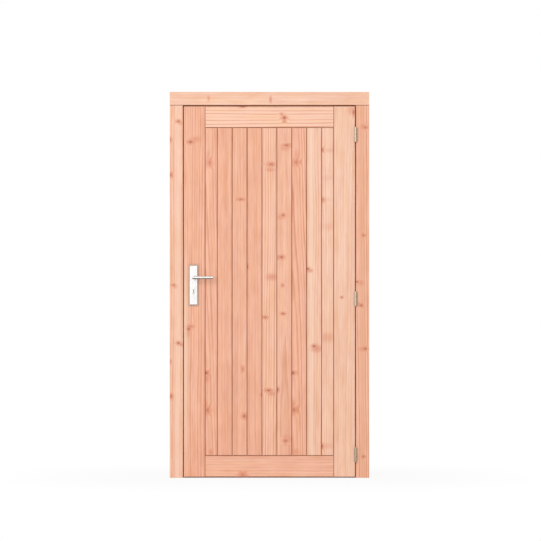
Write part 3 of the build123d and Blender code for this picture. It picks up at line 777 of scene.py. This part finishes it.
# Screws; shares are of the head's radius
SCREW_SEGMENTS = 48
RECESS_LENGTH = 0.62
RECESS_WIDTH = 0.17
RECESS_FLOOR = 0.75  # of the cross at the face
SCREW_SHANK = 0.55
SCREW_RIM = 0.2 * MM
SCREW_DEPTH = 2.0 * MM
SMALLEST_SINE = 1e-3
HINGE_SCREWS = np.array([(9, -27), (20, 0), (9, 27)]) * MM  # behind the leaf's face, above the middle
KEYHOLE_LIP = 0.3 * MM  # bright edge of the keyhole
FOREND_INSET = 11 * MM  # of screws from the ends of forend and strike plate
CYLINDER_SCREW = 24 * MM  # below the top of the cylinder
PLATE_INSET = 14 * MM  # of screws from the ends of the inner plate
PLATE_COLLAR = 2 * MM  # how far the ring round a lever stands in front of its plate


def screw_heads(centres, outward):
    """Points and faces of countersunk screws whose heads face along the unit axis outward.

    Each head is a profile turned round its axis. The inner edge of the profile follows a cross,
    min(length, width / |sin a|) with a the angle to the nearest arm, and drops to the recess floor.
    The dome falls with the square of the radius, and below the rim a cone runs down to the shank.
    """
    screw = bpy.context.scene.door_screw
    radius = screw.head / 2
    angle = np.linspace(0, 2 * np.pi, SCREW_SEGMENTS, endpoint=False)
    to_arm = (angle + np.pi / 4) % (np.pi / 2) - np.pi / 4
    sine = np.maximum(np.abs(np.sin(to_arm)), SMALLEST_SINE)
    cross = radius * np.minimum(RECESS_LENGTH, RECESS_WIDTH / sine)
    rim = np.full_like(angle, radius)
    flat = np.ones_like(angle)
    radii = np.stack([cross * RECESS_FLOOR, cross, (cross + rim) / 2, rim, rim, rim * SCREW_SHANK])
    dome = screw.dome * (1 - (radii[1:4] / radius) ** 2)
    heights = np.stack([-screw.recess * flat, *dome, -SCREW_RIM * flat, -SCREW_DEPTH * flat])
    rings = np.stack([radii * np.cos(angle), radii * np.sin(angle), heights], -1).reshape(-1, 3)
    poles = np.array([(0, 0, -screw.recess), (0, 0, -SCREW_DEPTH)])
    shape = np.concatenate([rings, poles])
    axis = np.array(outward, float)
    side = np.array((0.0, 0.0, 1.0))
    turned = shape @ np.stack([np.cross(side, axis), side, axis])
    points = (np.array(centres)[:, None] + turned).reshape(-1, 3)

    count = len(radii)
    grid = np.arange(count * SCREW_SEGMENTS).reshape(count, SCREW_SEGMENTS)
    following = np.roll(grid, -1, 1)
    quads = np.stack([grid[1:], following[1:], following[:-1], grid[:-1]], -1).reshape(-1, 4)
    top = np.stack([grid[0], following[0], np.full(SCREW_SEGMENTS, grid.size)], -1)
    bottom = np.stack([following[-1], grid[-1], np.full(SCREW_SEGMENTS, grid.size + 1)], -1)
    starts = np.arange(len(centres)) * len(shape)
    faces = [
        face for part in (quads, top, bottom)
        for face in (part[None] + starts[:, None, None]).reshape(-1, part.shape[1]).tolist()
    ]
    return points, faces


# Floor, light and camera, in metres
FLOOR_REACH = 30.0
FLOOR_DROP = 0.5 * MM
FLOOR_VEIL = (0.0, 1.2, 0.9, 1.0)  # distance from the door to how white the floor is
FLOOR_UNDER = (0.0, 1.0, 0.2, 1.0)  # under the door and outside it to how white the floor is
FLOOR_MOTTLE = 333.3  # patches of paint, in millimetres
FLOOR_WEAR = 0.02
FLOOR_WORN = "#C8C8C8"
FELT_NAP = 5.0  # in millimetres
FELT_DARK = "#1C1C1C"
FELT_PALE = "#2C2C2C"
CARD_DEPTH = 1.5
CARD_RISE = 0.5 * MM
WHITE = (1.0, 1.0, 1.0, 1.0)
LAMP_SIZE = 9.0
LAMP_LEFT = 6.0
LAMP_FRONT = 12.0
LAMP_HEIGHT = 5.0
SENSOR_WIDTH = 36.0  # in millimetres, as the camera wants it


def seen_directly(tree):
    """1 for what the eye sees by itself, in a mirror or through glass, and 0 for what lights the door."""
    path = node(tree, "LightPath")
    seen = node(tree, "Math", path["Is Camera Ray"], path["Is Glossy Ray"], operation="MAXIMUM")[0]
    return node(tree, "Math", seen, path["Is Transmission Ray"], operation="MAXIMUM")[0]


def make_floor_paint(colour):
    """Matt floor paint under a white veil that thins towards the door."""
    # Painted studio floor: white to the eye and in mirrors, but shaded under the door and a little near it
    paint, tree = new_material("matt floor paint")
    away = distance_from_box(tree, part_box("lock_jamb")[0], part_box("hinge_jamb")[1], (1, 1, 0))
    cover = node(tree, "MapRange", away, *FLOOR_VEIL, interpolation_type="SMOOTHSTEP")[0]
    outside = node(tree, "Math", away, 0.0, operation="GREATER_THAN")[0]
    open_floor = node(tree, "MapRange", outside, *FLOOR_UNDER)[0]
    veil = node(tree, "Math", seen_directly(tree), cover, operation="MULTIPLY")[0]
    veil = node(tree, "Math", veil, open_floor, operation="MULTIPLY")[0]
    place = node(tree, "TexCoord")["Object"]
    mottle = node(tree, "TexNoise", place, named={"Scale": PER_METRE / FLOOR_MOTTLE, "Detail": 3.0})[0]
    tint = node(tree, "MapRange", mottle, *NOISE_SPAN, 0.0, FLOOR_WEAR)[0]
    worn = opaque(linear(FLOOR_WORN))
    base = node(tree, "Mix", tint, named={MIX_A: opaque(colour), MIX_B: worn}, data_type="RGBA")[MIXED]
    matt = node(tree, "BsdfDiffuse", base)[0]
    white = node(tree, "Emission", WHITE, 1.0)[0]
    node(tree, "OutputMaterial", node(tree, "MixShader", veil, matt, white)[0])
    return paint


def lay_floor(stage):
    """A flat square, just under the door so that the two never share a plane."""
    reach = FLOOR_REACH
    corners = np.array([(-reach, -reach), (reach, -reach), (reach, reach), (-reach, reach)])
    points = np.column_stack([corners, np.full(len(corners), -FLOOR_DROP)])
    make_piece("floor", points, [(0, 1, 2, 3)], make_floor_paint(stage.floor))


def make_felt():
    """Black felt, as dark as a card in a studio."""
    # Pressed wool: nearly black, with a nap that breaks the tone a little
    felt, tree = new_material("black felt")
    nap = node(tree, "TexNoise", node(tree, "TexCoord")["Object"], named={"Scale": PER_METRE / FELT_NAP})[0]
    dark, pale = opaque(linear(FELT_DARK)), opaque(linear(FELT_PALE))
    colour = node(tree, "Mix", nap, named={MIX_A: dark, MIX_B: pale}, data_type="RGBA")[MIXED]
    node(tree, "OutputMaterial", node(tree, "BsdfDiffuse", colour)[0])
    return felt


def lay_cards():
    """Two flat cards, before and behind the door, that only metal mirrors: a lever gets a dark underside."""
    low, high = CAD_BOX
    edge = low.y - CARD_DEPTH
    before = np.array([(low.x, edge), (high.x, edge), (high.x, low.y), (low.x, low.y)])
    behind = before * (1, -1) + (0, low.y + high.y)
    corners = np.concatenate([before, behind[::-1]])
    points = np.column_stack([corners, np.full(len(corners), CARD_RISE)])
    cards = make_piece("dark_cards", points, [(0, 1, 2, 3), (4, 5, 6, 7)], make_felt())
    cards.visible_camera = False
    cards.visible_diffuse = False
    cards.visible_transmission = False
    cards.visible_shadow = False


def light_room(scene, stage):
    """A white room all round, dimmer as a light than to the eye, and a large soft lamp at the front left."""
    scene.world = bpy.data.worlds.new("white room")
    scene.world.use_nodes = True
    tree = scene.world.node_tree
    tree.nodes.clear()
    level = node(tree, "MapRange", seen_directly(tree), 0.0, 1.0, stage.ambient, 1.0)[0]
    node(tree, "OutputWorld", node(tree, "Background", WHITE, level)[0])

    low, high = CAD_BOX
    centre = (low + high) / 2
    lamp = bpy.data.lights.new("key light", "AREA")
    lamp.energy = stage.key
    lamp.size = LAMP_SIZE
    key = bpy.data.objects.new("key light", lamp)
    key.location = (centre.x - LAMP_LEFT, low.y - LAMP_FRONT, LAMP_HEIGHT)
    key.rotation_euler = (centre - key.location).to_track_quat("-Z", "Y").to_euler()
    scene.collection.objects.link(key)


def set_camera(scene, stage):
    """A camera that looks straight at the face of the leaf, with the given field at that face."""
    lens = bpy.data.cameras.new("camera")
    lens.sensor_width = SENSOR_WIDTH
    lens.lens = lens.sensor_width * stage.distance / stage.field
    camera = bpy.data.objects.new("camera", lens)
    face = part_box("lock_stile")[0].y
    camera.location = (stage.across, face - stage.distance, stage.height)
    camera.rotation_euler = (math.pi / 2, 0, 0)
    scene.collection.objects.link(camera)
    scene.camera = camera


class DOOR_OT_frame_timber(bpy.types.Operator):
    """Give the jambs, the head, the stops and the threshold their timber."""

    bl_idname = "door.frame_timber"
    bl_label = "Frame timber"

    def execute(self, context):
        dress_timber(FRAME_TIMBER, FRAME_SEED)
        return {"FINISHED"}


class DOOR_OT_leaf_timber(bpy.types.Operator):
    """Give the stiles and rails of the leaf their timber."""

    bl_idname = "door.leaf_timber"
    bl_label = "Stiles and rails"

    def execute(self, context):
        dress_timber(LEAF_TIMBER, LEAF_SEED)
        return {"FINISHED"}


class DOOR_OT_boards(bpy.types.Operator):
    """Give the boards of the panel their timber."""

    bl_idname = "door.boards"
    bl_label = "Boards"

    def execute(self, context):
        dress_timber(BOARD_TIMBER, BOARD_SEED)
        return {"FINISHED"}


class DOOR_OT_hinges(bpy.types.Operator):
    """Give the hinges their plating and screw their flaps down."""

    bl_idname = "door.hinges"
    bl_label = "Hinges"

    def execute(self, context):
        # Zinc plating on steel: soft, slightly yellow gloss with the drawn lines of the strip under it
        zinc = make_metal("zinc-plated steel", context.scene.door_metal.hinge, DRAWN)
        for hinge_node in HINGE_NODES:
            dress(hinge_node, zinc)
        jamb_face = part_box("hinge_jamb")[0].x
        stile_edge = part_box("hinge_stile")[1].x
        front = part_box("hinge_stile")[0].y
        for hinge in HINGES:
            for body, face, outward in (("frame", jamb_face, (-1, 0, 0)), ("leaf", stile_edge, (1, 0, 0))):
                low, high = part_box(f"{hinge}_hinge_{body}_flap")
                middle = (low.z + high.z) / 2
                centres = [(face, front + inward, middle + rise) for inward, rise in HINGE_SCREWS]
                screws = make_piece(f"{hinge}_hinge_{body}_screws", *screw_heads(centres, outward), zinc)
                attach(screws, body)
        return {"FINISHED"}


class DOOR_OT_lock(bpy.types.Operator):
    """Give the lock and its strike plate their metal, and screw them down."""

    bl_idname = "door.lock"
    bl_label = "Lock"

    def execute(self, context):
        metal = context.scene.door_metal
        cylinder_low, cylinder_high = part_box("lock_cylinder")
        keyhole = (cylinder_low.y + KEYHOLE_LIP, cylinder_high.y - KEYHOLE_LIP)
        # Ground steel: long fine lines up and down the forend
        ground = make_metal("ground steel", metal.lock, GROUND)
        # Nickel plating on turned brass: warm grey, smooth, with painted shade, black, inside the keyhole
        nickel = make_metal("nickel-plated brass", metal.cylinder, TURNED, keyhole)
        for lock_node in LOCK_NODES:
            dress(lock_node, ground)
        dress("lock_cylinder", nickel)

        low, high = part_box("lock_forend")
        middle = (low.y + high.y) / 2
        heights = (low.z + FOREND_INSET, cylinder_high.z - CYLINDER_SCREW, high.z - FOREND_INSET)
        centres = [(low.x, middle, height) for height in heights]
        forend_screws = make_piece("forend_screws", *screw_heads(centres, (-1, 0, 0)), ground)
        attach(forend_screws, "leaf")

        low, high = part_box("strike_plate")
        centres = [(high.x, middle, height) for height in (low.z + FOREND_INSET, high.z - FOREND_INSET)]
        strike_screws = make_piece("strike_screws", *screw_heads(centres, (1, 0, 0)), ground)
        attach(strike_screws, "frame")
        return {"FINISHED"}


class DOOR_OT_handle(bpy.types.Operator):
    """Give the plates and levers their satin finish, and screw the inner plate down."""

    bl_idname = "door.handle"
    bl_label = "Handle"

    def execute(self, context):
        colour = context.scene.door_metal.handle
        # Satin stainless steel: near white, with a soft gloss drawn out by brushing along its length
        plate_steel = make_metal("satin stainless steel, upright", colour, BRUSHED_UPRIGHT)
        lever_steel = make_metal("satin stainless steel, level", colour, BRUSHED_LEVEL)
        for plate in PLATE_NODES:
            dress(plate, plate_steel)
        for lever in LEVER_NODES:
            dress(lever, lever_steel)
        low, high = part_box("inner_plate")
        middle = (low.x + high.x) / 2
        face = high.y - PLATE_COLLAR
        centres = [(middle, face, height) for height in (low.z + PLATE_INSET, high.z - PLATE_INSET)]
        screws = make_piece("inner_plate_screws", *screw_heads(centres, (0, 1, 0)), plate_steel)
        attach(screws, "leaf")
        return {"FINISHED"}


class DOOR_OT_stage(bpy.types.Operator):
    """Lay the floor, light the room and set the camera."""

    bl_idname = "door.stage"
    bl_label = "Stage"

    def execute(self, context):
        scene = context.scene
        scene.view_settings.view_transform = "Standard"
        lay_floor(scene.door_stage)
        lay_cards()
        light_room(scene, scene.door_stage)
        set_camera(scene, scene.door_stage)
        return {"FINISHED"}


SETTINGS = {
    "door_fir": FirSettings,
    "door_metal": MetalSettings,
    "door_screw": ScrewSettings,
    "door_stage": StageSettings,
}
OPERATORS = (
    DOOR_OT_frame_timber, DOOR_OT_leaf_timber, DOOR_OT_boards, DOOR_OT_hinges, DOOR_OT_lock, DOOR_OT_handle,
    DOOR_OT_stage,
)


class DOOR_PT_panel(bpy.types.Panel):
    """Lists the settings and the steps of the door."""

    bl_idname = "DOOR_PT_panel"
    bl_label = "Plank door"
    bl_space_type = "VIEW_3D"
    bl_region_type = "UI"
    bl_category = "Door"

    def draw(self, context):
        for group in SETTINGS:
            settings = getattr(context.scene, group)
            for name in settings.bl_rna.properties.keys():
                if name not in ("name", "rna_type"):
                    self.layout.prop(settings, name)
        for operator in OPERATORS:
            self.layout.operator(operator.bl_idname)


CLASSES = (*SETTINGS.values(), *OPERATORS, DOOR_PT_panel)


def register():
    """Make the settings, operators and panel known to Blender."""
    for kind in CLASSES:
        bpy.utils.register_class(kind)
    for group, kind in SETTINGS.items():
        setattr(bpy.types.Scene, group, PointerProperty(type=kind))


def unregister():
    """Take them away again."""
    for group in SETTINGS:
        delattr(bpy.types.Scene, group)
    for kind in reversed(CLASSES):
        bpy.utils.unregister_class(kind)


def main():
    """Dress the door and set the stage."""
    register()
    bpy.ops.door.frame_timber()
    bpy.ops.door.leaf_timber()
    bpy.ops.door.boards()
    bpy.ops.door.hinges()
    bpy.ops.door.lock()
    bpy.ops.door.handle()
    bpy.ops.door.stage()


if __name__ == "__main__":
    main()
